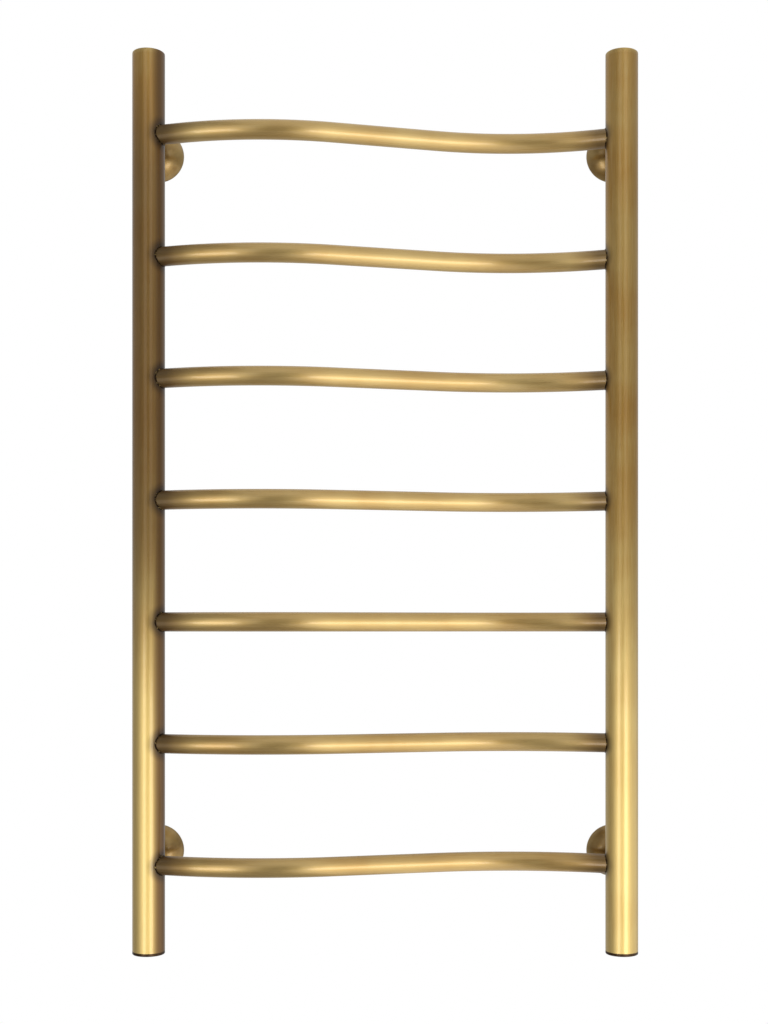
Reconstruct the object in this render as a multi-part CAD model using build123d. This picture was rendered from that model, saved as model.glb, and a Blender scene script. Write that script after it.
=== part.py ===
"""Ladder towel rail: two tube posts, wavy water-carrying rungs and telescopic wall fixings.

Frame: +Z is up, the wall is the plane y = 0 and the room is on its -Y side. The origin lies on
the wall, midway between the four fixings. All sizes are in millimetres.
"""
from build123d import *
import math
import os

# Ladder
POST_DIAMETER = 32.0
POST_WALL = 2.0
CENTRE_DISTANCE = 468.0  # between the two post axes
WALL_DISTANCE = 60.0  # from the wall to the post axes, with the fixings pushed in
TOP_OVERHANG = 82.0  # from the top rung's axis to the top of the posts
BOTTOM_OVERHANG = 88.0  # from the bottom rung's axis to the underside of the bushes
RUNG_COUNT = 7
RUNG_PITCH = 120.0
RUNG_DIAMETER = 19.0
RUNG_WALL = 1.5
RUNG_OVERRUN = 0.8  # how far a rung's end stands clear of the post's inner wall
WAVE_DEPTH = 20.5  # from the plane of the posts to the crest of a rung's axis
WAVE_STRAIGHT = 106.0  # straight run between a rung's two bends

# Post ends
PLUG_CLEARANCE = 0.05  # radial, between a spigot and the post's bore
CAP_THICKNESS = 3.0
CAP_SPIGOT = 4.0
BUSH_FLANGE = 3.0
BUSH_SPIGOT = 16.0
BUSH_THREAD_CORE = 18.632  # core diameter of a G 1/2 inside thread
END_EDGE_RADIUS = 1.0

# Wall fixings
FIXING_SPACING = 715.0  # from the upper fixings to the lower ones
ROD_DIAMETER = 10.0
ROD_CLEARANCE = 0.08  # radial, between a support rod and its wall socket
ROD_END_GAP = 2.0  # from a pushed-in rod's end to the socket's floor
SOCKET_WALL = 2.92
SOCKET_GAP = 10.0  # from the post to a pushed-in socket's mouth
SOCKET_FLOOR = 2.0
SOCKET_FLANGE_DIAMETER = 26.0
SOCKET_FLANGE = 2.5
STUD_THREAD_CORE = 6.8  # core diameter of an M8 inside thread
STUD_THREAD_DEPTH = 12.0
SCREW_DIAMETER = 4.0
SCREW_CLEARANCE = 0.05  # radial, between a set screw and its hole
SCREW_TIP_GAP = 0.1
SCREW_SINK = 0.3  # how far a set screw sits below the socket's surface
SCREW_INSET = 5.0  # from the socket's mouth to the set screw's axis
SCREW_TIP = 0.5  # chamfer on the screw's tip
HEX_KEY = 2.0  # across the flats
HEX_KEY_FLOOR = 1.2

# Rosettes
ROSETTE_DIAMETER = 53.0
ROSETTE_DEPTH = 14.0
ROSETTE_RIM = 1.5
ROSETTE_WALL = 1.8
ROSETTE_BULGE = 3.0  # how far the dome's curve stands off a straight cone
ROSETTE_INNER_BULGE = 2.2  # the same for the hollow behind it
ROSETTE_LIP = 1.0  # flat ring between the dome and the bore
ROSETTE_CLEARANCE = 0.3  # radial, between the collar and the socket
COLLAR_WALL = 3.2
COLLAR_GAP = 2.0  # from the socket's flange to the collar
RING_CORD = 2.0
RING_CLEARANCE = 0.1  # radial, between the ring and the socket
RING_SIDE = 0.1  # room on each side of the ring in its groove
RING_LIP = 1.2  # from the ring to the collar's front

# Air vent
VENT_DROP = 26.0  # below the top of the post
VENT_BOSS_DIAMETER = 18.0
VENT_BOSS = 5.0
VENT_THREAD = 9.7
VENT_THREAD_CLEARANCE = 0.05
VENT_TAIL = 1.0  # how far the vent's thread reaches into the post's bore
VENT_SEAL = 1.0
VENT_SEAL_DIAMETER = 13.0
VENT_HEX = 14.0  # across the flats
VENT_HEX_HEIGHT = 4.5
VENT_NECK_DIAMETER = 9.5
VENT_NECK = 4.0
VENT_BORE = 5.0
VENT_SEAT = 2.0
VENT_SEAT_LENGTH = 4.0
VENT_WEEP = 1.6
NEEDLE_CLEARANCE = 0.05
NEEDLE_GAP = 0.3  # between the needle's tip and its seat, and under the knob
KNOB_DIAMETER = 10.0
KNOB_HEIGHT = 5.5
KNOB_FLUTES = 16
KNOB_FLUTE_DEPTH = 0.4

# Sizes that follow
post_r = POST_DIAMETER / 2
bore_r = post_r - POST_WALL
rung_r = RUNG_DIAMETER / 2
half_span = CENTRE_DISTANCE / 2
fixing_z = FIXING_SPACING / 2
top_rung_z = fixing_z  # the upper fixings stand behind the top rung
low_rung_z = top_rung_z - (RUNG_COUNT - 1) * RUNG_PITCH
post_top = top_rung_z + TOP_OVERHANG
post_bottom = low_rung_z - BOTTOM_OVERHANG
post_back = -WALL_DISTANCE + post_r

crest_x = half_span / 2 + (WAVE_STRAIGHT / 2) ** 2 / CENTRE_DISTANCE
bend_r = ((half_span - crest_x) ** 2 + WAVE_DEPTH**2) / (2 * WAVE_DEPTH)
wave_slope = math.atan2(bend_r, WAVE_STRAIGHT / 2) - math.atan2(bend_r - WAVE_DEPTH, crest_x)
rung_reach = math.sqrt(bore_r**2 - rung_r**2) - RUNG_OVERRUN
bend_turn = wave_slope + math.asin((half_span - crest_x) / bend_r) - rung_reach / bend_r

rod_r = ROD_DIAMETER / 2
socket_bore_r = rod_r + ROD_CLEARANCE
socket_r = socket_bore_r + SOCKET_WALL
socket_mouth = post_back + SOCKET_GAP
socket_floor = -STUD_THREAD_DEPTH - SOCKET_FLOOR
screw_hole_r = SCREW_DIAMETER / 2
screw_y = socket_mouth + SCREW_INSET

ring_r = socket_r + RING_CLEARANCE + RING_CORD / 2
ring_y = -ROSETTE_DEPTH + RING_LIP + RING_CORD / 2
collar_bore_r = socket_r + ROSETTE_CLEARANCE
collar_r = collar_bore_r + COLLAR_WALL
mouth_r = collar_bore_r + ROSETTE_LIP
collar_back = -SOCKET_FLANGE - COLLAR_GAP

vent_z = post_top - VENT_DROP
vent_thread_r = VENT_THREAD / 2
vent_hole_r = vent_thread_r + VENT_THREAD_CLEARANCE
boss_face = post_back + VENT_BOSS
hex_face = boss_face + VENT_SEAL
neck_face = hex_face + VENT_HEX_HEIGHT
vent_face = neck_face + VENT_NECK
vent_tail = post_back - POST_WALL - VENT_TAIL
vent_bore_r = VENT_BORE / 2
seat_end = vent_tail + VENT_SEAT_LENGTH

POSTS = {"left": -half_span, "right": half_span}
FIXINGS = {
    f"{level}_{side}": (x, z)
    for level, z in (("upper", fixing_z), ("lower", -fixing_z))
    for side, x in POSTS.items()
}
RUNG_LEVELS = [top_rung_z - i * RUNG_PITCH for i in range(RUNG_COUNT)]


def rod_y(radius, start, end):
    """A round bar along Y."""
    bar = Cylinder(radius, end - start, align=(Align.CENTER, Align.CENTER, Align.MIN))
    return Pos(0, start, 0) * Rot(-90, 0, 0) * bar


def rod_z(radius, start, end):
    """A round bar along Z."""
    bar = Cylinder(radius, end - start, align=(Align.CENTER, Align.CENTER, Align.MIN))
    return Pos(0, 0, start) * bar


def wave_bar(section):
    """A section carried along a rung's wave: bend, straight run, opposite bend."""
    run = WAVE_STRAIGHT / 2
    heading = Vector(math.cos(wave_slope), math.sin(wave_slope), 0)
    start = heading * -run
    face = Plane(origin=start, x_dir=(0, 0, 1), z_dir=heading) * section
    bend_axis = Axis((-crest_x, bend_r - WAVE_DEPTH, 0), (0, 0, -1))
    bend = revolve(face, bend_axis, math.degrees(bend_turn))
    half = bend + extrude(face, run)
    return Pos(0, -WALL_DISTANCE, 0) * (half + Rot(0, 0, 180) * half)


def post_rod(radius, start, end, x):
    """A round bar on a post's axis."""
    return Pos(x, -WALL_DISTANCE, 0) * rod_z(radius, start, end)


def post(x, rung_holes):
    """One upright tube with a brazing hole for each rung's end."""
    start = post_bottom + BUSH_FLANGE
    end = post_top - CAP_THICKNESS
    tube = post_rod(post_r, start, end, x) - post_rod(bore_r, start, end, x)
    return tube - rung_holes


def vent_hole():
    """The hole for the air vent in the back of the right post."""
    return Pos(half_span, 0, vent_z) * rod_y(vent_hole_r, -WALL_DISTANCE, boss_face)


def top_cap(x):
    """A disc that closes a post, with a spigot in the bore."""
    disc = post_rod(post_r, post_top - CAP_THICKNESS, post_top, x)
    disc = fillet(disc.edges().sort_by(Axis.Z)[-1], END_EDGE_RADIUS)
    seat = post_top - CAP_THICKNESS
    return disc + post_rod(bore_r - PLUG_CLEARANCE, seat - CAP_SPIGOT, seat, x)


def connection_bush(x):
    """The threaded bush brazed into a post's foot, where a valve or elbow screws in."""
    seat = post_bottom + BUSH_FLANGE
    flange = post_rod(post_r, post_bottom, seat, x)
    flange = fillet(flange.edges().sort_by(Axis.Z)[0], END_EDGE_RADIUS)
    spigot = post_rod(bore_r - PLUG_CLEARANCE, seat, seat + BUSH_SPIGOT, x)
    return flange + spigot - post_rod(BUSH_THREAD_CORE / 2, post_bottom, seat + BUSH_SPIGOT, x)


def support_rod():
    """The rod brazed to the back of a post, which slides in a wall socket."""
    rod = rod_y(rod_r, -WALL_DISTANCE, socket_floor - ROD_END_GAP)
    return rod - Pos(0, -WALL_DISTANCE, 0) * rod_z(post_r, -ROD_DIAMETER, ROD_DIAMETER)


def wall_socket():
    """The flanged socket on the wall, with a threaded hole for a stud behind."""
    socket = rod_y(socket_r, socket_mouth, 0)
    socket += rod_y(SOCKET_FLANGE_DIAMETER / 2, -SOCKET_FLANGE, 0)
    socket -= rod_y(socket_bore_r, socket_mouth, socket_floor)
    socket -= rod_y(STUD_THREAD_CORE / 2, -STUD_THREAD_DEPTH, 0)
    return socket - Pos(0, screw_y, 0) * rod_z(screw_hole_r, -2 * socket_r, 0)


def set_screw():
    """The headless screw under a socket that clamps the support rod."""
    foot = -socket_r + SCREW_SINK
    tip = -rod_r - SCREW_TIP_GAP
    screw = rod_z(screw_hole_r - SCREW_CLEARANCE, foot, tip)
    screw = chamfer(screw.edges().sort_by(Axis.Z)[-1], SCREW_TIP)
    hexagon = RegularPolygon(HEX_KEY / 2, 6, major_radius=False)
    recess = extrude(Pos(0, 0, foot) * hexagon, tip - foot - HEX_KEY_FLOOR)
    return Pos(0, screw_y, 0) * (screw - recess)


def rosette():
    """The hollow domed cover that hides a fixing, with a ring groove in its collar."""
    rim_r = ROSETTE_DIAMETER / 2
    shoulder = -ROSETTE_DEPTH + ROSETTE_WALL
    outline = [
        Line((rim_r, 0), (rim_r, -ROSETTE_RIM)),
        SagittaArc((rim_r, -ROSETTE_RIM), (mouth_r, -ROSETTE_DEPTH), ROSETTE_BULGE),
        Polyline(
            (mouth_r, -ROSETTE_DEPTH),
            (collar_bore_r, -ROSETTE_DEPTH),
            (collar_bore_r, collar_back),
            (collar_r, collar_back),
            (collar_r, shoulder),
        ),
        SagittaArc((collar_r, shoulder), (rim_r - ROSETTE_WALL, 0), -ROSETTE_INNER_BULGE),
        Line((rim_r - ROSETTE_WALL, 0), (rim_r, 0)),
    ]
    half_groove = RING_CORD / 2 + RING_SIDE
    groove = rod_y(ring_r + RING_CORD / 2, ring_y - half_groove, ring_y + half_groove)
    return revolve(make_face(outline), Axis.Y) - groove


def rosette_ring():
    """The rubber ring that grips the socket."""
    return Pos(0, ring_y, 0) * Rot(90, 0, 0) * Torus(ring_r, RING_CORD / 2)


def vent_boss():
    """The boss brazed to the back of the right post for the air vent."""
    boss = rod_y(VENT_BOSS_DIAMETER / 2, -WALL_DISTANCE, boss_face)
    boss -= Pos(0, -WALL_DISTANCE, 0) * rod_z(post_r, -VENT_BOSS_DIAMETER, VENT_BOSS_DIAMETER)
    return boss - rod_y(vent_hole_r, -WALL_DISTANCE, boss_face)


def vent_seal():
    """The flat seal under the vent's hexagon."""
    return rod_y(VENT_SEAL_DIAMETER / 2, boss_face, hex_face) - rod_y(vent_hole_r, boss_face, hex_face)


def vent_body():
    """The screwed-in vent with its needle seat and a weep hole in the neck."""
    hexagon = Plane.XZ.offset(-hex_face) * RegularPolygon(VENT_HEX / 2, 6, major_radius=False)
    body = rod_y(vent_thread_r, vent_tail, hex_face) + extrude(hexagon, -VENT_HEX_HEIGHT)
    body += rod_y(VENT_NECK_DIAMETER / 2, neck_face, vent_face)
    body -= rod_y(VENT_SEAT / 2, vent_tail, seat_end)
    body -= rod_y(vent_bore_r, seat_end, vent_face)
    weep_y = (neck_face + vent_face) / 2
    return body - Pos(0, weep_y, 0) * rod_z(VENT_WEEP / 2, -VENT_NECK_DIAMETER, 0)


def vent_knob():
    """The needle screw that opens the vent, with a fluted thumb knob."""
    shank_r = vent_bore_r - NEEDLE_CLEARANCE
    knob_start = vent_face + NEEDLE_GAP
    knob = rod_y(KNOB_DIAMETER / 2, knob_start, knob_start + KNOB_HEIGHT)
    flute = Pos(KNOB_DIAMETER / 2, 0, 0) * rod_y(KNOB_FLUTE_DEPTH, knob_start, knob_start + KNOB_HEIGHT)
    knob -= [Rot(0, i * 360 / KNOB_FLUTES, 0) * flute for i in range(KNOB_FLUTES)]
    shank = rod_y(shank_r, seat_end + NEEDLE_GAP, knob_start)
    tip = shank.edges().sort_by(Axis.Y)[0]
    return knob + chamfer(tip, shank_r / 2)


def ladder_nodes():
    """The brazed ladder: posts, rungs and what closes the posts' ends."""
    bar = wave_bar(Circle(rung_r))
    tube = wave_bar(Circle(rung_r) - Circle(rung_r - RUNG_WALL))
    rung_holes = [Pos(0, 0, z) * bar for z in RUNG_LEVELS]
    nodes = {f"{side}_post": post(x, rung_holes) for side, x in POSTS.items()}
    nodes["right_post"] -= vent_hole()
    for i, z in enumerate(RUNG_LEVELS):
        nodes[f"rung_{i + 1}"] = Pos(0, 0, z) * tube
    for side, x in POSTS.items():
        nodes[f"{side}_top_cap"] = top_cap(x)
        nodes[f"{side}_connection_bush"] = connection_bush(x)
    return nodes


def fixing_nodes():
    """Four telescopic wall fixings, each with its cover."""
    pieces = {
        "support_rod": support_rod(),
        "wall_socket": wall_socket(),
        "set_screw": set_screw(),
        "rosette": rosette(),
        "rosette_ring": rosette_ring(),
    }
    return {
        f"{place}_{piece}": Pos(x, 0, z) * shape
        for place, (x, z) in FIXINGS.items()
        for piece, shape in pieces.items()
    }


def vent_nodes():
    """The air vent high on the back of the right post."""
    pieces = {
        "vent_boss": vent_boss(),
        "vent_seal": vent_seal(),
        "vent_body": vent_body(),
        "vent_knob": vent_knob(),
    }
    return {name: Pos(half_span, 0, vent_z) * shape for name, shape in pieces.items()}


def main():
    os.makedirs("parts", exist_ok=True)
    for name, shape in {**ladder_nodes(), **fixing_nodes(), **vent_nodes()}.items():
        export_step(shape, f"parts/{name}.step")


main()
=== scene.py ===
"""Water-heated towel rack in antique brass: fine meshes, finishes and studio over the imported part.

The file is laid out as an add-on and run as a script. Lengths are in metres, in the part's frame:
+Z up, the wall at y = 0, the room on its -Y side.
"""

import math
from functools import partial

import bmesh
import bpy
from bpy.props import FloatProperty, FloatVectorProperty, IntProperty, PointerProperty
from mathutils import Matrix, Vector, noise


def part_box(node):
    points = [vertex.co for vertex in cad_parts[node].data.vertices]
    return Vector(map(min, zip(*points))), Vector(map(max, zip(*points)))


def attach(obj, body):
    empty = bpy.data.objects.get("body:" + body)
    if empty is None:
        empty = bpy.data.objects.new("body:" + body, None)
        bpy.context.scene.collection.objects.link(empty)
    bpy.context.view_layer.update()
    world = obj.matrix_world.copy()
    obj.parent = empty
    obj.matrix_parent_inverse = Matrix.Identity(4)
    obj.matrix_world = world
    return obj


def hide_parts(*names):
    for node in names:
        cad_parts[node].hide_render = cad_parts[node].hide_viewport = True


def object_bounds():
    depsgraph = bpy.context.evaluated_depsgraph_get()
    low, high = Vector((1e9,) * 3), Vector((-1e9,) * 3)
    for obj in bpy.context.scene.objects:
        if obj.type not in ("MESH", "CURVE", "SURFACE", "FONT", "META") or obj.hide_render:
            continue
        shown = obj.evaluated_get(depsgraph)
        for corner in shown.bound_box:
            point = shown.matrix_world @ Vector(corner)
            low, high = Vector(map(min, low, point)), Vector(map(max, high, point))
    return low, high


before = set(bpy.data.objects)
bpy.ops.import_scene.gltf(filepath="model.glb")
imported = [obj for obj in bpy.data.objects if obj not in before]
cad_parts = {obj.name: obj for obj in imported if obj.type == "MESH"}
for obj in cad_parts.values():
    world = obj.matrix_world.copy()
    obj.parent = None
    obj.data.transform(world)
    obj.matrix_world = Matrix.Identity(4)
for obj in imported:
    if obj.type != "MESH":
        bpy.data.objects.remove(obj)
cad_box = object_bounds()

bl_info = {
    "name": "Towel Warmer Rack",
    "version": (1, 0, 0),
    "blender": (4, 5, 0),
    "location": "View3D > Sidebar > Towel Rack",
    "description": "Builds the visible pieces, finishes and studio of a brass towel warmer rack",
    "category": "Object",
}

MM = 0.001
SIDES = ("left", "right")
PLACES = ("upper_left", "upper_right", "lower_left", "lower_right")
RUNGS = sorted(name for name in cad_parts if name.startswith("rung_"))
PICTURE_WIDTH, PICTURE_HEIGHT = 768, 1024
# A turned solid stops this far from its axis, so that its mesh has no point on it.
AXIS_GAP = 0.01 * MM
# Facets round small turned pieces, and the angle from which an edge stays crisp.
SMALL_STEPS = 48
CRISP = math.radians(32)


def linear(code):
    """An sRGB hex colour as linear red, green and blue."""
    shares = (int(code[i:i + 2], 16) / 255 for i in (0, 2, 4))
    return tuple(c / 12.92 if c <= 0.04045 else ((c + 0.055) / 1.055) ** 2.4 for c in shares)


def size(node):
    """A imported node's extent along X, Y and Z."""
    low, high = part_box(node)
    return Vector(high) - Vector(low)


def centre(node):
    """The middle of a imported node's box."""
    low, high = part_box(node)
    return (Vector(high) + Vector(low)) / 2


def length(label, words, default):
    """A property that holds a length in metres."""
    return FloatProperty(name=label, description=words, default=default, unit="LENGTH", precision=5)


def colour(label, words, code):
    """A property that holds a colour, given as sRGB hex."""
    return FloatVectorProperty(name=label, description=words, default=linear(code), subtype="COLOR", size=3)


class RackSizes(bpy.types.PropertyGroup):
    """Sizes of the rack's visible pieces."""
    post_radius: length("Post radius", "Outer radius of the posts", size("left_post").x / 2)
    post_wall: length("Post wall", "Wall of the posts", 2 * MM)
    rung_radius: length("Rung radius", "Outer radius of the rungs", size("rung_1").z / 2)
    half_span: length("Half span", "From the middle to a post's axis", centre("right_post").x)
    post_depth: length("Post depth", "Place of the posts' axes along Y", centre("right_post").y)
    rung_pitch: length("Rung pitch", "From one rung to the next", centre("rung_1").z - centre("rung_2").z)
    wave_depth: length("Wave depth", "From the posts' plane to a rung's crest", 20.49 * MM)
    wave_straight: length("Wave straight", "Straight run between a rung's bends", 106 * MM)
    rung_reach: length("Rung reach", "From a post's axis to a rung's end", 9.5 * MM)
    seam: length("Seam", "Radius of the brazed seam round a rung's end", 0.75 * MM)
    socket_radius: length("Socket radius", "Outer radius of the wall sockets", 8 * MM)
    edge: length("Edge", "Rounding of the posts' end edges", 1 * MM)
    fine_edge: length("Fine edge", "Broken edge on small turned pieces", 0.3 * MM)
    round_steps: IntProperty(name="Round steps", description="Facets around a tube", default=64, min=12)


class RackColours(bpy.types.PropertyGroup):
    """Colours of the finishes."""
    relieved: colour("Relieved brass", "Brass of the rungs where the patina is rubbed back", "D4B675")
    toned: colour("Toned brass", "Brass of the rungs under a thin even patina", "BA914D")
    post_relieved: colour("Relieved post", "Brass of the posts where the patina is rubbed back", "D6B972")
    post_toned: colour("Toned post", "Brass of the posts under a thin even patina", "BC8F43")
    patina: colour("Patina", "Brown patina left in the joints", "2E2116")
    # This brown is also painted as shade on the left post and toward the rungs' ends.
    brown: colour("Brown brass", "Brass that is hardly rubbed back", "78572A")
    bronze: colour("Dark bronze", "Oxidised bush", "5A4530")
    bare: colour("Bare brass", "Turned brass of the vent", "C8A766")
    oxide: colour("Black oxide", "Blackened steel screws", "17171A")
    rubber: colour("Rubber", "Seals and rings", "141312")
    floor: colour("Floor", "Studio floor", "E8E6E2")


class RackStudio(bpy.types.PropertyGroup):
    """Camera and floor."""
    eye_height: length("Eye height", "Camera height in the part's frame", centre("rung_4").z - 127 * MM)
    eye_distance: length("Eye distance", "From the camera to the posts' plane", 1.385)
    focal_px: FloatProperty(name="Focal length", description="In picture pixels", default=1400.0)
    middle_px: FloatProperty(name="Middle", default=385.2,
                             description="The rack's middle in the picture, in pixels from the left")
    horizon_px: FloatProperty(name="Horizon", default=629.0,
                              description="Eye level in the picture, in pixels from the top")
    floor_drop: length("Floor drop", "From the posts' feet to the floor", 1.20)


def sizes():
    """The rack's sizes in this scene."""
    return bpy.context.scene.rack_sizes


def colours():
    """The finishes' colours in this scene."""
    return bpy.context.scene.rack_colours


# Meshes

def grid_mesh(name, rings, closed_ends=True, ring_loop=False):
    """A mesh through rings of points, each ring closed on itself.

    Its UV map holds the share of the turn round a ring, and the metres from the first ring.
    """
    mesh = bpy.data.meshes.new(name)
    form = bmesh.new()
    uv = form.loops.layers.uv.new("UVMap")
    verts = [[form.verts.new(p) for p in ring] for ring in rings]
    count = len(rings[0])
    along = [0.0]
    for a, b in zip(rings, rings[1:]):
        along.append(along[-1] + (Vector(a[0]) - Vector(b[0])).length)
    pairs = [(i, i + 1) for i in range(len(rings) - 1)]
    if ring_loop:
        pairs.append((len(rings) - 1, 0))
    for i, k in pairs:
        for j in range(count):
            n = (j + 1) % count
            face = form.faces.new((verts[i][j], verts[i][n], verts[k][n], verts[k][j]))
            marks = ((j, i), (j + 1, i), (j + 1, k), (j, k))
            for loop, (u, v) in zip(face.loops, marks):
                loop[uv].uv = (u / count, along[v])
    if closed_ends and not ring_loop:
        form.faces.new(list(reversed(verts[0])))
        form.faces.new(verts[-1])
    bmesh.ops.recalc_face_normals(form, faces=form.faces)
    form.to_mesh(mesh)
    form.free()
    mesh.shade_smooth()
    mesh.set_sharp_from_angle(angle=CRISP)
    return mesh


def rounded(corners, radius, steps=4, most=0.45):
    """A closed profile with its corners rounded; corners are (r, h) pairs, or (r, h, 0) to stay sharp.

    A rounding takes no more than the share most of an edge.
    """
    points = []
    count = len(corners)
    for i in range(count):
        here = Vector(corners[i][:2])
        if len(corners[i]) == 3:
            points.append(tuple(here))
            continue
        back = Vector(corners[i - 1][:2]) - here
        ahead = Vector(corners[(i + 1) % count][:2]) - here
        cut = min(radius, back.length * most, ahead.length * most)
        start = here + back.normalized() * cut
        end = here + ahead.normalized() * cut
        for s in range(steps + 1):
            t = s / steps
            points.append(tuple(start * (1 - t) ** 2 + here * 2 * t * (1 - t) + end * t ** 2))
    return points


def arc(start, end, bulge, steps):
    """Points on a shallow arc between two (r, h) points, standing off the chord by bulge to its left."""
    a, b = Vector(start), Vector(end)
    chord = b - a
    side = Vector((-chord.y, chord.x)).normalized()
    shares = [i / steps for i in range(steps + 1)]
    return [tuple(a + chord * t + side * (bulge * 4 * t * (1 - t))) for t in shares]


def thread(core, crest, pitch, deep, steps_per_turn=8):
    """Profile of an inside thread from its mouth inwards: functions from angle to radius, with depths."""
    count = int(deep / pitch * steps_per_turn)

    def radius(h, a):
        """Radius at a depth and angle."""
        turn = (h / pitch - a / (2 * math.pi)) % 1.0
        return core + (crest - core) * abs(2 * turn - 1)

    depths = [deep * i / count for i in range(count + 1)]
    return [(partial(radius, h), h) for h in depths]


def round_ring(angles, radius, height):
    """Points round local Z at a height; radius is a length, or a function that gives one for an angle."""
    reach = radius if callable(radius) else lambda a: radius
    return [(reach(a) * math.cos(a), reach(a) * math.sin(a), height) for a in angles]


def turned(name, placed, profile, steps=SMALL_STEPS):
    """A closed profile of (r, h) points turned about local Z, then moved by the matrix placed."""
    angles = [2 * math.pi * j / steps for j in range(steps)]
    mesh = grid_mesh(name, [round_ring(angles, r, h) for r, h in profile], ring_loop=True)
    mesh.transform(placed)
    return mesh


def sheet(name, corners):
    """A flat mesh with four corners."""
    mesh = bpy.data.meshes.new(name)
    mesh.from_pydata(corners, [], [(0, 1, 2, 3)])
    return mesh


def put(mesh, body, node_names, material):
    """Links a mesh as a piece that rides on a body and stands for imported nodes."""
    piece = bpy.data.objects.new(mesh.name, mesh)
    bpy.context.scene.collection.objects.link(piece)
    mesh.materials.append(material)
    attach(piece, body)
    if node_names:
        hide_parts(*node_names)
    return piece


def clothe(node, material):
    """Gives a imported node's own object a finish."""
    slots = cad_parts[node].data.materials
    slots.clear()
    slots.append(material)


def along_y(x, y, z):
    """Lays local Z on +Y at a point, so that heights run towards the wall."""
    return Matrix.Translation((x, y, z)) @ Matrix.Rotation(math.radians(-90), 4, "X")


def rung_bend():
    """Place of a rung's crest along X, and the radius of its bends."""
    s = sizes()
    crest = s.half_span / 2 + (s.wave_straight / 2) ** 2 / (2 * s.half_span)
    radius = ((s.half_span - crest) ** 2 + s.wave_depth ** 2) / (2 * s.wave_depth)
    return crest, radius


def wave(step=3 * MM):
    """Points and headings along a rung's axis in plan, from its left end to its right one.

    The points are measured from the rack's middle at the posts' depth.
    """
    s = sizes()
    crest, bend = rung_bend()
    run = s.wave_straight / 2
    slope = math.atan2(bend, run) - math.atan2(bend - s.wave_depth, crest)
    first = -math.asin((s.half_span - crest) / bend) + s.rung_reach / bend
    count = int(bend * (slope - first) / step)
    half = []
    for i in range(count + 1):
        t = first + (slope - first) * i / count
        half.append((Vector((-crest + bend * math.sin(t), bend - s.wave_depth - bend * math.cos(t))), t))
    runs = int(run / step)
    tip = half[-1][0]
    half += [(tip * (1 - i / runs), slope) for i in range(1, runs)]
    middle = [(Vector((0.0, 0.0)), slope)]
    return half + middle + [(-p, t) for p, t in reversed(half)]


def joint_turn():
    """How far a rung's end is turned out of the posts' plane."""
    crest, bend = rung_bend()
    return math.asin((sizes().half_span - crest) / bend)


# Materials

def add(tree, kind, inputs=None, **settings):
    """Adds a shader node with its settings, and sets or links its inputs."""
    node = tree.nodes.new("ShaderNode" + kind)
    for key, value in settings.items():
        setattr(node, key, value)
    for key, value in (inputs or {}).items():
        if isinstance(value, bpy.types.NodeSocket):
            tree.links.new(value, node.inputs[key])
        else:
            node.inputs[key].default_value = value
    return node


def fresh(name):
    """An empty node material, its tree and its output."""
    material = bpy.data.materials.new(name)
    material.use_nodes = True
    tree = material.node_tree
    tree.nodes.clear()
    return material, tree, add(tree, "OutputMaterial")


def rgba(value):
    """A colour with full alpha."""
    return (*value, 1.0)


def joint_shade(tree, place, near, far):
    """1 at a rung's joint with a post, fading to 0 away from it, from the place in the part's frame."""
    s = sizes()
    turn = joint_turn()
    axes = add(tree, "SeparateXYZ", {0: place})
    out = add(tree, "Math", {0: axes.outputs["X"]}, operation="ABSOLUTE")
    inward = add(tree, "Math", {0: s.half_span, 1: out.outputs[0]}, operation="SUBTRACT")
    hand = add(tree, "Math", {0: axes.outputs["X"]}, operation="SIGN")
    deep = add(tree, "Math", {0: s.post_depth, 1: axes.outputs["Y"]}, operation="SUBTRACT")
    sided = add(tree, "Math", {0: deep.outputs[0], 1: hand.outputs[0]}, operation="MULTIPLY")
    above = add(tree, "Math", {0: axes.outputs["Z"], 1: centre("rung_4").z}, operation="SUBTRACT")
    level = add(tree, "Math", {0: above.outputs[0], 1: s.rung_pitch / 2, 2: -s.rung_pitch / 2},
                operation="WRAP")
    local = add(tree, "CombineXYZ", {"X": inward.outputs[0], "Y": sided.outputs[0], "Z": level.outputs[0]})
    joint = (s.post_radius * math.cos(turn), -s.post_radius * math.sin(turn), 0.0)
    away = add(tree, "VectorMath", {0: local.outputs[0], 1: joint}, operation="DISTANCE")
    return add(tree, "MapRange", {"Value": away.outputs["Value"], "From Min": near, "From Max": far,
                                  "To Min": 1.0, "To Max": 0.0}, interpolation_type="SMOOTHSTEP")


def post_painted_shade(tree, place):
    """Share of brown painted on the posts as shade: over the left one's upper half and along its inner side.
    """
    s = sizes()
    axes = add(tree, "SeparateXYZ", {0: place})
    steps = []
    for axis, start, end, share in (("Z", -0.22, -0.02, 1.0), ("Z", 0.46, 0.30, 0.7), ("X", 0.02, -0.02, 1.0),
                                    ("X", 1 * MM - s.half_span, 13 * MM - s.half_span, 1.0)):
        steps.append(add(tree, "MapRange", {"Value": axes.outputs[axis], "From Min": start, "From Max": end,
                                            "To Max": share}, interpolation_type="SMOOTHSTEP").outputs[0])
    rise, fall, left, inner = steps
    band = add(tree, "Math", {0: rise, 1: fall}, operation="MULTIPLY")
    most = add(tree, "Math", {0: band.outputs[0], 1: inner}, operation="MAXIMUM")
    return add(tree, "Math", {0: most.outputs[0], 1: left}, operation="MULTIPLY").outputs[0]


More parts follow.
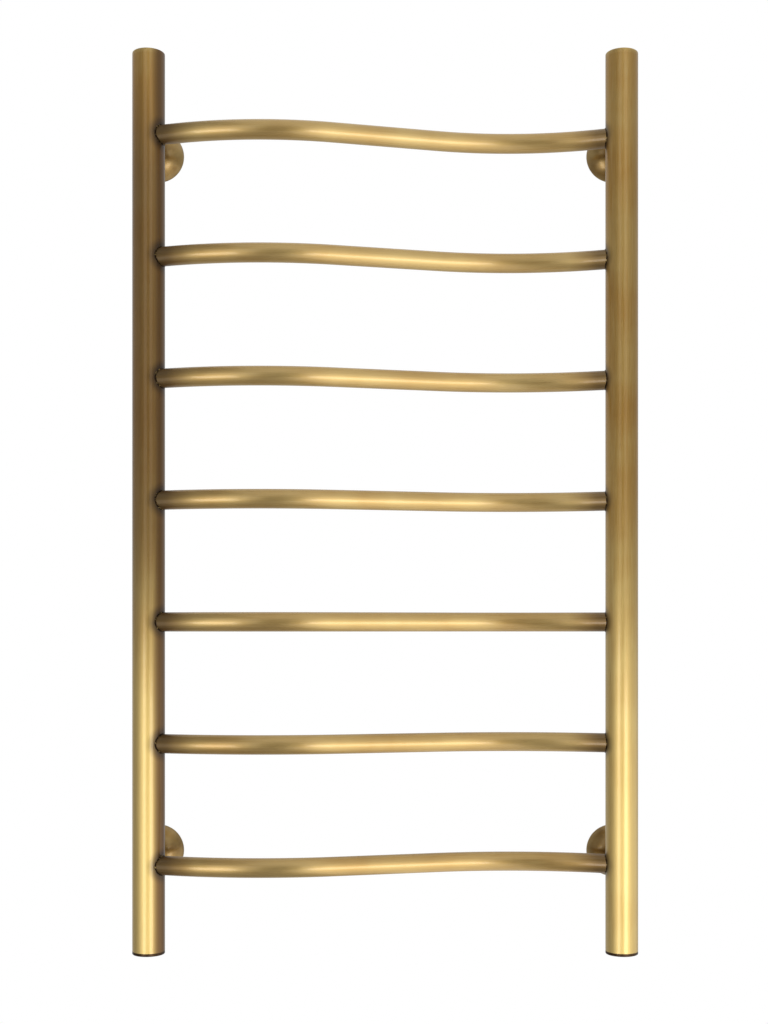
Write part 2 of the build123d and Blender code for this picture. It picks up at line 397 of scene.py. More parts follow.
def antique_brass(name, toned, relieved, rubbed_share, wear, shade_share, least_rough, of_posts):
    """Antique brass: toned brown, rubbed back along the tube with a fine belt and lacquered.

    The belt's lines spread what the metal mirrors round the tube and keep it sharp along it, so the eye
    sees a soft satin with long highlights, gold where it is rubbed and brown in the joints. rubbed_share
    is the range of gold from patch to patch, and shade_share is the dark patina at the joints.
    """
    material, tree, out = fresh(name)
    c = colours()
    place = add(tree, "TexCoord").outputs["Object"]
    # Rubbing leaves cloudy lighter and darker patches about 70 mm long.
    cloud = add(tree, "TexNoise", {"Vector": place, "Scale": 1 / (70 * MM), "Detail": 3.0, "Roughness": 0.5})
    low, high = rubbed_share
    rubbed = add(tree, "MapRange", {"Value": cloud.outputs["Fac"], "From Min": 0.35, "From Max": 0.65,
                                    "To Min": low, "To Max": high})
    # The belt's lines are about 0.1 mm wide and 40 mm long, drawn 0.6 to 1 mm wide so that they show.
    lines_round = 100.0
    around = add(tree, "UVMap", uv_map="UVMap")
    stretch = add(tree, "Mapping", {"Vector": around.outputs[0], "Scale": (lines_round, 1 / (40 * MM), 1.0)})
    lines = add(tree, "TexNoise", {"Vector": stretch.outputs[0], "Scale": 1.0, "Detail": 2.0})
    streak = add(tree, "MapRange", {"Value": lines.outputs["Fac"], "From Min": 0.3, "From Max": 0.7,
                                    "To Min": -0.2, "To Max": 0.2})
    share = add(tree, "Math", {0: rubbed.outputs[0], 1: streak.outputs[0]}, operation="ADD", use_clamp=True)
    # Each height step adds its gain to the rubbed share from one height to another; on the posts the paler
    # lower half is a painted highlight.
    height = add(tree, "SeparateXYZ", {0: place}).outputs["Z"]
    for start, end, gain in wear:
        height_step = add(tree, "MapRange", {"Value": height, "From Min": start, "From Max": end, "To Max": gain})
        share = add(tree, "Math", {0: share.outputs[0], 1: height_step.outputs[0]}, operation="ADD", use_clamp=True)
    ground = add(tree, "Mix", {"Factor": share.outputs[0], "A": rgba(toned), "B": rgba(relieved)},
                 data_type="RGBA")
    # The brown mixed in here is painted shade: over the left post's upper half and inner side, and on the
    # rungs toward each end, out to 42 mm from the joint.
    if of_posts:
        brown = post_painted_shade(tree, place)
    else:
        painted_end_shade = joint_shade(tree, place, 10 * MM, 42 * MM)
        brown = add(tree, "Math", {0: painted_end_shade.outputs[0], 1: 0.7}, operation="MULTIPLY").outputs[0]
    ground = add(tree, "Mix", {"Factor": brown, "A": ground.outputs[2], "B": rgba(c.brown)},
                 data_type="RGBA")
    # Dark patina stays round the joints, with a ragged edge of patches about 9 mm wide.
    shade = joint_shade(tree, place, 9 * MM, 20 * MM)
    ragged = add(tree, "TexNoise", {"Vector": place, "Scale": 1 / (9 * MM), "Detail": 4.0})
    torn = add(tree, "MapRange", {"Value": ragged.outputs["Fac"], "From Min": 0.3, "From Max": 0.7,
                                  "To Min": 0.8 * shade_share, "To Max": shade_share})
    held = add(tree, "Math", {0: shade.outputs[0], 1: torn.outputs[0]}, operation="MULTIPLY")
    tone = add(tree, "Mix", {"Factor": held.outputs[0], "A": ground.outputs[2], "B": rgba(c.patina)},
               data_type="RGBA")
    rough = add(tree, "MapRange", {"Value": lines.outputs["Fac"], "From Min": 0.3, "From Max": 0.7,
                                   "To Min": least_rough, "To Max": least_rough + 0.05})
    across = add(tree, "Tangent", direction_type="UV_MAP", uv_map="UVMap")
    bump = add(tree, "Bump", {"Height": lines.outputs["Fac"], "Distance": 0.02 * MM})
    skin = add(tree, "BsdfPrincipled", {"Base Color": tone.outputs[2], "Roughness": rough.outputs[0],
                                        "Metallic": 1.0, "Anisotropic": 0.8, "Tangent": across.outputs[0],
                                        "Coat Weight": 0.8, "Coat Roughness": 0.12,
                                        "Normal": bump.outputs[0]})
    tree.links.new(skin.outputs[0], out.inputs[0])
    return material


def turned_brass(name):
    """Antique brass turned on a lathe and lacquered: fine rings throw soft wedges of light over the face."""
    material, tree, out = fresh(name)
    c = colours()
    place = add(tree, "TexCoord").outputs["Object"]
    # Hand rubbing leaves clouds about 18 mm wide on a piece of this size.
    cloud = add(tree, "TexNoise", {"Vector": place, "Scale": 1 / (18 * MM), "Detail": 3.0})
    rubbed = add(tree, "MapRange", {"Value": cloud.outputs["Fac"], "From Min": 0.3, "From Max": 0.7,
                                    "To Min": 0.2, "To Max": 0.6})
    tone = add(tree, "Mix", {"Factor": rubbed.outputs[0], "A": rgba(c.brown), "B": rgba(c.relieved)},
               data_type="RGBA")
    # The tool leaves a ring each 0.15 mm, drawn 0.6 mm apart so that they show.
    profile = add(tree, "UVMap", uv_map="UVMap")
    stretch = add(tree, "Mapping", {"Vector": profile.outputs[0], "Scale": (4.0, 1 / (0.6 * MM), 1.0)})
    rings = add(tree, "TexNoise", {"Vector": stretch.outputs[0], "Scale": 1.0, "Detail": 2.0})
    around = add(tree, "Tangent", direction_type="UV_MAP", uv_map="UVMap")
    bump = add(tree, "Bump", {"Height": rings.outputs["Fac"], "Distance": 0.005 * MM})
    skin = add(tree, "BsdfPrincipled", {"Base Color": tone.outputs[2], "Roughness": 0.36, "Metallic": 1.0,
                                        "Anisotropic": 0.6, "Anisotropic Rotation": 0.25,
                                        "Tangent": around.outputs[0], "Coat Weight": 0.5,
                                        "Coat Roughness": 0.12, "Normal": bump.outputs[0]})
    tree.links.new(skin.outputs[0], out.inputs[0])
    return material


def oxidised_bronze(name):
    """Bronze blackened in an oxidising bath and waxed: nearly black, with small soft gleams."""
    material, tree, out = fresh(name)
    c = colours()
    place = add(tree, "TexCoord").outputs["Object"]
    # The bath leaves a mottle about 2 mm wide.
    grain = add(tree, "TexNoise", {"Vector": place, "Scale": 1 / (2 * MM), "Detail": 3.0})
    tone = add(tree, "Mix", {"Factor": grain.outputs["Fac"], "A": rgba(c.bronze), "B": rgba(c.patina)},
               data_type="RGBA")
    bump = add(tree, "Bump", {"Height": grain.outputs["Fac"], "Distance": 0.01 * MM})
    skin = add(tree, "BsdfPrincipled", {"Base Color": tone.outputs[2], "Roughness": 0.4, "Metallic": 1.0,
                                        "Coat Weight": 0.1, "Coat Roughness": 0.3,
                                        "Normal": bump.outputs[0]})
    tree.links.new(skin.outputs[0], out.inputs[0])
    return material


def oxidised_filler(name):
    """Silver brazing filler that went brown with the tubes: a dark line with small bright specks."""
    material, tree, out = fresh(name)
    c = colours()
    place = add(tree, "TexCoord").outputs["Object"]
    # Polishing opens specks about 1.6 mm apart on the bead.
    grain = add(tree, "TexNoise", {"Vector": place, "Scale": 1 / (1.6 * MM), "Detail": 2.0})
    speck = add(tree, "MapRange", {"Value": grain.outputs["Fac"], "From Min": 0.56, "From Max": 0.8})
    tone = add(tree, "Mix", {"Factor": speck.outputs[0], "A": rgba(c.patina), "B": rgba(c.relieved)},
               data_type="RGBA")
    bump = add(tree, "Bump", {"Height": grain.outputs["Fac"], "Distance": 0.1 * MM})
    skin = add(tree, "BsdfPrincipled", {"Base Color": tone.outputs[2], "Roughness": 0.3, "Metallic": 1.0,
                                        "Normal": bump.outputs[0]})
    tree.links.new(skin.outputs[0], out.inputs[0])
    return material


def bare_brass(name):
    """Free-cutting brass straight from the lathe: pale gold with a light grain."""
    material, tree, out = fresh(name)
    c = colours()
    place = add(tree, "TexCoord").outputs["Object"]
    # The tool's marks are about 0.1 mm wide, drawn 1.5 mm wide so that they show.
    grain = add(tree, "TexNoise", {"Vector": place, "Scale": 1 / (1.5 * MM), "Detail": 3.0})
    tone = add(tree, "Mix", {"Factor": grain.outputs["Fac"], "A": rgba(c.relieved), "B": rgba(c.bare)},
               data_type="RGBA")
    bump = add(tree, "Bump", {"Height": grain.outputs["Fac"], "Distance": 0.01 * MM})
    skin = add(tree, "BsdfPrincipled", {"Base Color": tone.outputs[2], "Roughness": 0.26, "Metallic": 1.0,
                                        "Normal": bump.outputs[0]})
    tree.links.new(skin.outputs[0], out.inputs[0])
    return material


def black_oxide_steel(name):
    """Blackened and oiled steel: dark, with a soft metal sheen."""
    material, tree, out = fresh(name)
    c = colours()
    place = add(tree, "TexCoord").outputs["Object"]
    # The oxide's crystals are far below 0.1 mm, drawn 0.6 mm wide so that they show.
    grain = add(tree, "TexNoise", {"Vector": place, "Scale": 1 / (0.6 * MM), "Detail": 2.0})
    rough = add(tree, "MapRange", {"Value": grain.outputs["Fac"], "To Min": 0.3, "To Max": 0.5})
    bump = add(tree, "Bump", {"Height": grain.outputs["Fac"], "Distance": 0.01 * MM})
    skin = add(tree, "BsdfPrincipled", {"Base Color": rgba(c.oxide), "Roughness": rough.outputs[0],
                                        "Metallic": 1.0, "Normal": bump.outputs[0]})
    tree.links.new(skin.outputs[0], out.inputs[0])
    return material


def moulded_rubber(name):
    """Moulded EPDM rubber: black and matt, with a fine bloom."""
    material, tree, out = fresh(name)
    c = colours()
    place = add(tree, "TexCoord").outputs["Object"]
    # Wax that rises to the surface dries in spots about 1.2 mm wide.
    bloom = add(tree, "TexNoise", {"Vector": place, "Scale": 1 / (1.2 * MM), "Detail": 2.0})
    rough = add(tree, "MapRange", {"Value": bloom.outputs["Fac"], "To Min": 0.6, "To Max": 0.85})
    bump = add(tree, "Bump", {"Height": bloom.outputs["Fac"], "Distance": 0.03 * MM})
    skin = add(tree, "BsdfPrincipled", {"Base Color": rgba(c.rubber), "Roughness": rough.outputs[0],
                                        "Normal": bump.outputs[0]})
    tree.links.new(skin.outputs[0], out.inputs[0])
    return material


def finish(name, maker, **details):
    """A material by name, made the first time that it is asked for."""
    return bpy.data.materials.get(name) or maker(name, **details)


def post_finish():
    """Brass of the posts, paler over their lower half as a painted highlight, and worn paler at their top
    edges, which also paints the edges' highlight.
    """
    c = colours()
    top = cad_box[1][2]
    return finish("Antique brass posts", antique_brass, toned=c.post_toned, relieved=c.post_relieved,
                  rubbed_share=(0.0, 0.5), wear=((0.05, -0.17, 0.8), (top - 5 * MM, top, 0.7)),
                  shade_share=0.9, least_rough=0.33, of_posts=True)


def rung_finish():
    """Brass of the rungs, the lower ones a little darker."""
    c = colours()
    return finish("Antique brass rungs", antique_brass, toned=c.toned, relieved=c.relieved,
                  rubbed_share=(0.5, 1.0), wear=((0.0, -0.2, -0.15),),
                  shade_share=0.35, least_rough=0.37, of_posts=False)


def turned_finish():
    """Brass of the sockets and rosettes."""
    return finish("Turned antique brass", turned_brass)


# Operators

class RACK_OT_posts(bpy.types.Operator):
    """Make the two upright tubes"""
    bl_idname = "rack.posts"
    bl_label = "Posts"

    def execute(self, context):
        s = sizes()
        for side in SIDES:
            node = f"{side}_post"
            low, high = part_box(node)
            inner = s.post_radius - s.post_wall
            rise = high[2] - low[2]
            ring_gap = 4 * MM
            steps = int(rise / ring_gap)
            outside = [(s.post_radius, low[2] + rise * i / steps) for i in range(steps + 1)]
            profile = outside + [(inner, high[2]), (inner, low[2])]
            x, y, _ = centre(node)
            mesh = turned(f"{side}_post_tube", Matrix.Translation((x, y, 0)), profile, s.round_steps)
            put(mesh, "rack", [node], post_finish())
        return {"FINISHED"}


class RACK_OT_rungs(bpy.types.Operator):
    """Make the wavy rungs and the brazed seams at their ends"""
    bl_idname = "rack.rungs"
    bl_label = "Rungs"

    def execute(self, context):
        s = sizes()
        line = wave()
        steps = s.round_steps * 3 // 4
        for node in RUNGS:
            z = centre(node).z
            rings = []
            for p, t in line:
                side = Vector((-math.sin(t), math.cos(t), 0))
                ring = []
                for j in range(steps):
                    a = 2 * math.pi * j / steps
                    q = side * (s.rung_radius * math.cos(a))
                    ring.append((p.x + q.x, s.post_depth + p.y + q.y, z + s.rung_radius * math.sin(a)))
                rings.append(ring)
            mesh = grid_mesh(f"{node}_tube", rings)
            put(mesh, "rack", [node], rung_finish())
            filler = finish("Oxidised brazing filler", oxidised_filler)
            for hand, name in zip((-1, 1), SIDES):
                seam = self.seam(f"{node}_{name}_seam", hand, z)
                put(seam, "rack", [], filler)
        return {"FINISHED"}

    def seam(self, name, hand, z):
        """The bead of filler that follows the line where a rung meets a post."""
        s = sizes()
        turn = joint_turn()
        out = Vector((math.cos(turn), -math.sin(turn), 0)) * -hand
        side = Vector((math.sin(turn), math.cos(turn), 0)) * -hand
        post = Vector((hand * s.half_span, s.post_depth, z))
        rings = []
        count, facets = 56, 8
        lump_depth, lumps_per_metre = 0.25, 400
        for i in range(count):
            a = 2 * math.pi * i / count
            across = side * math.cos(a) + Vector((0, 0, 1)) * math.sin(a)
            reach = math.sqrt(s.post_radius ** 2 - (s.rung_radius * math.cos(a)) ** 2)
            foot = post + across * s.rung_radius + out * reach
            bead = s.seam * (1 + lump_depth * noise.noise(foot * lumps_per_metre))
            ring = []
            for j in range(facets):
                b = 2 * math.pi * j / facets
                ring.append(foot + across * (bead * math.cos(b)) + out * (bead * math.sin(b)))
            rings.append(ring)
        return grid_mesh(name, rings, ring_loop=True)


class RACK_OT_post_ends(bpy.types.Operator):
    """Make the top caps and the threaded bushes in the posts' feet"""
    bl_idname = "rack.post_ends"
    bl_label = "Post ends"

    def execute(self, context):
        s = sizes()
        for side in SIDES:
            self.cap(s, f"{side}_top_cap")
            self.bush(s, f"{side}_connection_bush")
        return {"FINISHED"}

    def cap(self, s, node):
        """Disc with a spigot that closes a post, flush with the tube."""
        low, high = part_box(node)
        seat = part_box(node.replace("top_cap", "post"))[1][2]
        spigot = s.post_radius - s.post_wall
        profile = rounded([(AXIS_GAP, low[2], 0), (spigot, low[2]), (spigot, seat, 0),
                           (s.post_radius, seat, 0), (s.post_radius, high[2]), (AXIS_GAP, high[2], 0)],
                          s.edge, steps=6)
        x, y, _ = centre(node)
        mesh = turned(f"{node}_disc", Matrix.Translation((x, y, 0)), profile, s.round_steps)
        put(mesh, "rack", [node], post_finish())

    def bush(self, s, node):
        """G 1/2 inside thread: 1.814 mm pitch, 18.632 mm core, 20.955 mm crest."""
        low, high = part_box(node)
        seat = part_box(node.replace("connection_bush", "post"))[0][2]
        spigot = s.post_radius - s.post_wall
        core, crest, pitch = 18.632 / 2 * MM, 20.955 / 2 * MM, 1.814 * MM
        mouth = crest + 0.05 * MM
        outer = rounded([(mouth, low[2], 0), (s.post_radius, low[2]), (s.post_radius, seat, 0),
                         (spigot, seat, 0), (spigot, high[2], 0)], s.edge, steps=6)
        inside = [(r, low[2] + h) for r, h in reversed(thread(core, crest, pitch, high[2] - low[2]))]
        x, y, _ = centre(node)
        mesh = turned(f"{node}_turning", Matrix.Translation((x, y, 0)), outer + inside, s.round_steps)
        put(mesh, "rack", [node], finish("Oxidised bronze", oxidised_bronze))


class RACK_OT_fixings(bpy.types.Operator):
    """Make the support rods, wall sockets and rosettes"""
    bl_idname = "rack.fixings"
    bl_label = "Wall fixings"

    def execute(self, context):
        for place in PLACES:
            self.rod(place)
            self.socket(place)
            self.rosette(place)
            for piece, material in (("set_screw", finish("Black oxide steel", black_oxide_steel)),
                                    ("rosette_ring", finish("Moulded rubber", moulded_rubber))):
                clothe(f"{place}_{piece}", material)
        return {"FINISHED"}

    def rod(self, place):
        """Plain bar behind a post, with a broken edge at its free end."""
        node = f"{place}_support_rod"
        low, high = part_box(node)
        front, back = low[1], high[1]
        x, _, z = centre(node)
        r = size(node).x / 2
        profile = rounded([(AXIS_GAP, front, 0), (r, front, 0), (r, back), (AXIS_GAP, back, 0)],
                          2 * sizes().fine_edge)
        put(turned(f"{node}_bar", along_y(x, 0, z), profile), "rack", [node], post_finish())

    def socket(self, place):
        """Wall socket with an M8 inside thread behind: 1.25 mm pitch, 6.8 mm core, 8 mm crest."""
        node = f"{place}_wall_socket"
        low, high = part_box(node)
        front, back = low[1], high[1]
        x, _, z = centre(node)
        s = sizes()
        bore = size(f"{place}_support_rod").x / 2 + 0.08 * MM
        bore_end = back - 14 * MM
        flange, flange_front = size(node).x / 2, back - 2.5 * MM
        core, crest, pitch, deep = 3.4 * MM, 4 * MM, 1.25 * MM, 12 * MM
        outer = rounded([(AXIS_GAP, bore_end, 0), (bore, bore_end, 0), (bore, front),
                         (s.socket_radius, front), (s.socket_radius, flange_front, 0),
                         (flange, flange_front), (flange, back), (crest, back, 0)], s.fine_edge)
        inside = [(r, back - h) for r, h in thread(core, crest, pitch, deep)]
        profile = outer + inside + [(AXIS_GAP, back - deep)]
        mesh = turned(f"{node}_turning", along_y(x, 0, z), profile)
        piece = put(mesh, f"{place}_socket", [node], turned_finish())
        self.drill(piece, f"{place}_set_screw")

    def drill(self, piece, screw):
        """Cuts the set screw's hole through the underside of a socket."""
        play, long = 0.05 * MM, 8 * MM
        r = size(screw).x / 2 + play
        tool = bmesh.new()
        bmesh.ops.create_cone(tool, cap_ends=True, segments=32, radius1=r, radius2=r, depth=long,
                              matrix=Matrix.Translation(centre(screw)))
        mesh = bpy.data.meshes.new("drill")
        tool.to_mesh(mesh)
        tool.free()
        bit = bpy.data.objects.new("drill", mesh)
        bpy.context.scene.collection.objects.link(bit)
        cut = piece.modifiers.new("hole", "BOOLEAN")
        cut.object = bit
        cut.solver = "EXACT"
        bpy.context.view_layer.update()
        whole = piece.evaluated_get(bpy.context.evaluated_depsgraph_get())
        drilled = bpy.data.meshes.new_from_object(whole)
        piece.modifiers.remove(cut)
        old, name = piece.data, piece.data.name
        piece.data = drilled
        bpy.data.meshes.remove(old)
        drilled.name = name
        drilled.set_sharp_from_angle(angle=CRISP)
        bpy.data.objects.remove(bit)
        bpy.data.meshes.remove(mesh)

    def rosette(self, place):
        """Domed cover that slides along a socket, hollow behind round a collar."""
        node = f"{place}_rosette"
        low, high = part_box(node)
        front, back = low[1], high[1]
        x, _, z = centre(node)
        rim = size(node).x / 2
        bore = sizes().socket_radius + 0.3 * MM
        mouth, collar = bore + 1 * MM, bore + 3.2 * MM
        rim_thick, wall = 1.5 * MM, 1.8 * MM
        collar_end = back - 4.5 * MM
        bulge, hollow_bulge = 3 * MM, 2.2 * MM
        dome = arc((rim, back - rim_thick), (mouth, front), bulge, steps=28)
        hollow = arc((collar, front + wall), (rim - wall, back), -hollow_bulge, steps=16)
        profile = rounded([(rim, back), *[(r, h, 0) for r, h in dome[:-1]], (mouth, front), (bore, front),
                           (bore, collar_end), (collar, collar_end),
                           *[(r, h, 0) for r, h in hollow]], sizes().fine_edge)
        mesh = turned(f"{node}_dome", along_y(x, 0, z), profile, 2 * SMALL_STEPS)
        put(mesh, f"{place}_cover", [node], turned_finish())


class RACK_OT_air_vent(bpy.types.Operator):
    """Make the air vent on the back of the right post"""
    bl_idname = "rack.air_vent"
    bl_label = "Air vent"

    def execute(self, context):
        self.boss()
        self.body()
        self.knob()
        clothe("vent_seal", finish("Moulded rubber", moulded_rubber))
        return {"FINISHED"}

    def boss(self):
        """Round boss on the back of the post, which the vent screws into."""
        node = "vent_boss"
        low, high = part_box(node)
        front, back = low[1], high[1]
        x, _, z = centre(node)
        bore, r, edge = 4.9 * MM, size(node).x / 2, 0.5 * MM
        profile = rounded([(bore, front, 0), (r, front, 0), (r, back), (bore, back, 0)], edge)
        put(turned(f"{node}_turning", along_y(x, 0, z), profile), "rack", [node], post_finish())

    def body(self):
        """Hexagon for a spanner, and the neck that the knob screws into."""
        node = "vent_body"
        x, _, z = centre(node)
        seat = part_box("vent_seal")[1][1]
        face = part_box(node)[1][1]
        corner, hex_high, bevel = size(node).z / math.sqrt(3), 4.5 * MM, 0.35 * MM
        form = bmesh.new()
        bmesh.ops.create_cone(form, cap_ends=True, segments=6, radius1=corner, radius2=corner,
                              depth=hex_high)
        bmesh.ops.bevel(form, geom=form.edges[:], offset=bevel, segments=2, affect="EDGES")
        mesh = bpy.data.meshes.new("vent_body_hexagon")
        form.to_mesh(mesh)
        form.free()
        mesh.shade_smooth()
        mesh.set_sharp_from_angle(angle=math.radians(25))
        mesh.transform(along_y(x, seat + hex_high / 2, z))
        brass = finish("Bare brass", bare_brass)
        put(mesh, "rack", [node], brass)
        neck, bore, edge = 4.75 * MM, 2.5 * MM, 0.4 * MM
        profile = rounded([(bore, seat, 0), (neck, seat, 0), (neck, face), (bore, face)], edge)
        put(turned("vent_body_neck", along_y(x, 0, z), profile), "rack", [], brass)

    def knob(self):
        """Fluted head on a pointed shank."""
        node = "vent_knob"
        low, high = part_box(node)
        front, back = low[1], high[1]
        x, _, z = centre(node)
        r, shank, edge = size(node).x / 2, 2.45 * MM, 0.5 * MM
        head_front = back - 5.5 * MM
        flutes, flute_depth, fluted_from = 24, 0.05, 0.8 * r
        profile = rounded([(AXIS_GAP, front, 0), (shank / 2, front, 0), (shank, front + shank / 2, 0),
                           (shank, head_front, 0), (r, head_front), (r, back), (AXIS_GAP, back, 0)], edge)

        def fluted(radius, a):
            """Radius at an angle, cut back in the flutes."""
            return radius * (1 - flute_depth * max(0.0, math.cos(flutes * a)))

        profile = [(partial(fluted, q) if q > fluted_from else q, h) for q, h in profile]
        mesh = turned(f"{node}_turning", along_y(x, 0, z), profile, 8 * flutes)
        put(mesh, "vent_knob", [node], finish("Bare brass", bare_brass))


class RACK_OT_stage(bpy.types.Operator):
    """Make the floor, screens, lights and camera"""
    bl_idname = "rack.stage"
    bl_label = "Studio"

    def execute(self, context):
        context.scene.view_settings.view_transform = "Standard"
        self.world(context)
        self.floor(context)
        self.screens(context)
        self.lamps(context)
        self.camera(context)
        return {"FINISHED"}

    def world(self, context):
        """White behind the rack, for the eye and in the metal, and half as bright as light on the rack."""
        world = bpy.data.worlds.new("Studio")
        context.scene.world = world
        world.use_nodes = True
        tree = world.node_tree
        tree.nodes.clear()
        strength = add(tree, "MapRange", {"Value": self.seen(tree), "To Min": 0.5, "To Max": 1.0})
        light = add(tree, "Background", {"Color": (1, 1, 1, 1), "Strength": strength.outputs[0]})
        sky = add(tree, "OutputWorld")
        tree.links.new(light.outputs[0], sky.inputs[0])

    def seen(self, tree):
        """1 for what the camera sees straight, in metal or through glass, and 0 for other light."""
        ray = add(tree, "LightPath")
        straight = add(tree, "Math", {0: ray.outputs["Is Camera Ray"], 1: ray.outputs["Is Glossy Ray"]},
                       operation="MAXIMUM")
        return add(tree, "Math", {0: straight.outputs[0], 1: ray.outputs["Is Transmission Ray"]},
                   operation="MAXIMUM").outputs[0]

    def floor_level(self, context):
        """Height of the floor in the part's frame."""
        return cad_box[0][2] - context.scene.rack_studio.floor_drop

    def floor(self, context):
        """A pale floor that keeps the shadow and fades into the white background away from the rack."""
        half, level = 6.0, self.floor_level(context)
        mesh = sheet("floor", [(-half, -half, level), (half, -half, level), (half, half, level),
                               (-half, half, level)])
        material, tree, out = fresh("Pale floor")
        place = add(tree, "TexCoord").outputs["Object"]
        flat = add(tree, "VectorMath", {0: place, 1: (1, 1, 0)}, operation="MULTIPLY")
        far = add(tree, "VectorMath", {0: flat.outputs[0]}, operation="LENGTH")
        fade = add(tree, "MapRange", {"Value": far.outputs["Value"], "From Min": 0.35, "From Max": 0.9},
                   interpolation_type="SMOOTHSTEP")
        pale = add(tree, "BsdfDiffuse", {"Color": rgba(colours().floor)})
        glow = add(tree, "Math", {0: self.seen(tree), 1: 0.5}, operation="MULTIPLY")
        lift = add(tree, "Emission", {"Color": (1, 1, 1, 1), "Strength": glow.outputs[0]})
        lifted = add(tree, "AddShader", {0: pale.outputs[0], 1: lift.outputs[0]})
        white = add(tree, "Emission", {"Color": (1, 1, 1, 1), "Strength": 1.0})
        mixed = add(tree, "MixShader", {0: fade.outputs[0], 1: lifted.outputs[0], 2: white.outputs[0]})
        tree.links.new(mixed.outputs[0], out.inputs[0])
        self.link(context, mesh, material)

    def screens(self, context):
        """Lit cards round the rack, above it and below it, which the metal mirrors as a studio's walls."""
        left, right, front, back, high = -1.7, 1.9, -3.2, 0.8, 1.9
        low = self.floor_level(context)
        back_left, back_right = (left, back), (right, back)
        front_left, front_right = (left, front), (right, front)
        left_end, camera_left, camera_right = (left, -1.0), (-0.4, front), (0.6, front)
        for name, start, end, lower, upper, top in (
            ("left card", back_left, left_end, 0.30, 0.42, 0.45),
            ("left corner card", left_end, front_left, 0.80, 0.28, 0.35),
            ("left front card", front_left, camera_left, 0.50, 0.85, 1.10),
            ("camera side card", camera_left, camera_right, 0.10, 0.20, 0.40),
            ("right front card", camera_right, front_right, 0.65, 0.90, 1.20),
            ("right card", front_right, back_right, 0.95, 0.42, 0.60),
            ("back card", back_right, back_left, 0.50, 0.50, 0.90),
        ):
            mesh = sheet(name, [(*start, low), (*end, low), (*end, high), (*start, high)])
            self.card(context, mesh, lower, upper, top)
        over_floor = low + 0.02
        low_split, high_split = 0.18, -0.5
        for name, start, end, level, glow in (
            ("low card", left, low_split, over_floor, 0.3),
            ("low right card", low_split, right, over_floor, 1.1),
            ("left ceiling card", left, high_split, high, 0.3),
            ("ceiling card", high_split, right, high, 0.75),
        ):
            mesh = sheet(name, [(start, back, level), (start, front, level), (end, front, level),
                                (end, back, level)])
            piece = self.card(context, mesh, glow, glow, glow)
            # The low cards are there for the metal alone, so that the floor keeps its light.
            if level == over_floor:
                piece.visible_diffuse = False
                piece.visible_shadow = False

    def card(self, context, mesh, lower, upper, top):
        """Lights a card with three brightnesses up its height; the camera doesn't see it."""
        material, tree, out = fresh(f"Lit {mesh.name}")
        place = add(tree, "TexCoord").outputs["Object"]
        rise = add(tree, "SeparateXYZ", {0: place}).outputs["Z"]
        first = add(tree, "MapRange", {"Value": rise, "From Min": -0.4, "From Max": 0.05,
                                       "To Min": lower, "To Max": upper}, interpolation_type="SMOOTHSTEP")
        second = add(tree, "MapRange", {"Value": rise, "From Min": 0.8, "From Max": 1.8,
                                        "To Max": top - upper}, interpolation_type="SMOOTHSTEP")
        glow = add(tree, "Math", {0: first.outputs[0], 1: second.outputs[0]}, operation="ADD")
        light = add(tree, "Emission", {"Color": (1, 1, 1, 1), "Strength": glow.outputs[0]})
        tree.links.new(light.outputs[0], out.inputs[0])
        piece = self.link(context, mesh, material)
        piece.visible_camera = False
        return piece

    def link(self, context, mesh, material):
        """Links a piece of the stage.

        The floor and cards fill much of what the metal mirrors. Found by its rays alone, they leave less
        grain in the picture.
        """
        material.cycles.emission_sampling = "NONE"
        mesh.materials.append(material)
        piece = bpy.data.objects.new(mesh.name, mesh)
        context.scene.collection.objects.link(piece)
        return piece

    def lamps(self, context):
        """Two soft boxes, low on each side of the camera."""
        aim = Vector((0, -0.06, -0.6))
        for name, spot, wide, high, watts in (
            ("left soft box", (-1.21, -2.60, -0.84), 0.90, 1.42, 11.5),
            ("right soft box", (1.24, -2.80, -0.92), 1.22, 1.26, 16.5),
        ):
            lamp = bpy.data.lights.new(name, "AREA")
            lamp.shape = "RECTANGLE"
            lamp.size, lamp.size_y = wide, high
            lamp.energy = watts
            stand = bpy.data.objects.new(name, lamp)
            stand.location = spot
            stand.rotation_euler = (aim - Vector(spot)).to_track_quat("-Z", "Y").to_euler()
            stand.visible_camera = False
            context.scene.collection.objects.link(stand)

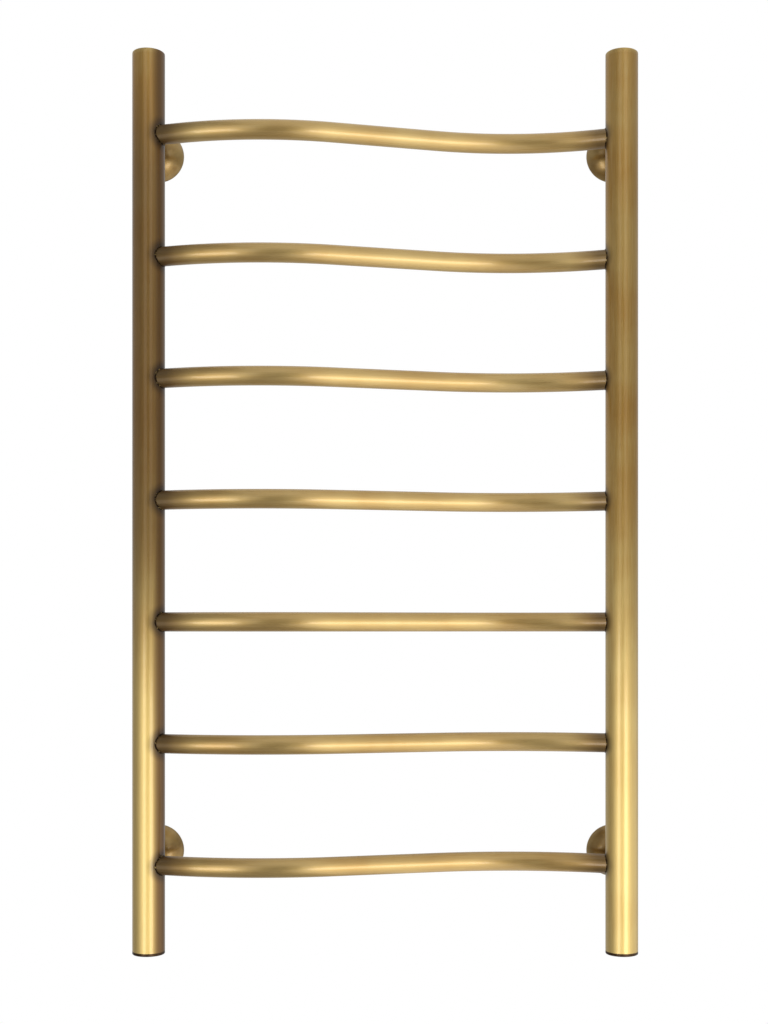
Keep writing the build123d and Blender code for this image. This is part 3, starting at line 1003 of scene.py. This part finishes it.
    def camera(self, context):
        """A level camera at eye height, with the picture shifted as the photograph is framed."""
        s = context.scene.rack_studio
        lens = bpy.data.cameras.new("camera")
        lens.sensor_width = 36.0
        lens.lens = s.focal_px / PICTURE_HEIGHT * lens.sensor_width
        lens.shift_x = (PICTURE_WIDTH / 2 - s.middle_px) / PICTURE_HEIGHT
        lens.shift_y = (s.horizon_px - PICTURE_HEIGHT / 2) / PICTURE_HEIGHT
        eye = bpy.data.objects.new("camera", lens)
        eye.location = (0.0, sizes().post_depth - s.eye_distance, s.eye_height)
        eye.rotation_euler = (math.radians(90), 0.0, 0.0)
        context.scene.collection.objects.link(eye)
        context.scene.camera = eye


class RACK_PT_panel(bpy.types.Panel):
    """Lists the rack's pieces, sizes, colours and studio"""
    bl_idname = "RACK_PT_panel"
    bl_label = "Towel Rack"
    bl_space_type = "VIEW_3D"
    bl_region_type = "UI"
    bl_category = "Towel Rack"

    def draw(self, context):
        """One button for each operator, and a box for each group of properties."""
        for maker in OPERATORS:
            self.layout.operator(maker.bl_idname)
        for group in (context.scene.rack_sizes, context.scene.rack_colours, context.scene.rack_studio):
            box = self.layout.box()
            for name in group.__annotations__:
                box.prop(group, name)


GROUPS = {"rack_sizes": RackSizes, "rack_colours": RackColours, "rack_studio": RackStudio}
OPERATORS = (RACK_OT_posts, RACK_OT_rungs, RACK_OT_post_ends, RACK_OT_fixings, RACK_OT_air_vent,
             RACK_OT_stage)
CLASSES = (*GROUPS.values(), *OPERATORS, RACK_PT_panel)


def register():
    """Adds the classes, and the groups of properties to the scene."""
    for kind in CLASSES:
        bpy.utils.register_class(kind)
    for name, group in GROUPS.items():
        setattr(bpy.types.Scene, name, PointerProperty(type=group))


def unregister():
    """Takes away what register adds."""
    for name in GROUPS:
        delattr(bpy.types.Scene, name)
    for kind in reversed(CLASSES):
        bpy.utils.unregister_class(kind)


def main():
    """Builds the rack and its studio."""
    register()
    bpy.ops.rack.posts()
    bpy.ops.rack.rungs()
    bpy.ops.rack.post_ends()
    bpy.ops.rack.fixings()
    bpy.ops.rack.air_vent()
    bpy.ops.rack.stage()


if __name__ == "__main__":
    main()
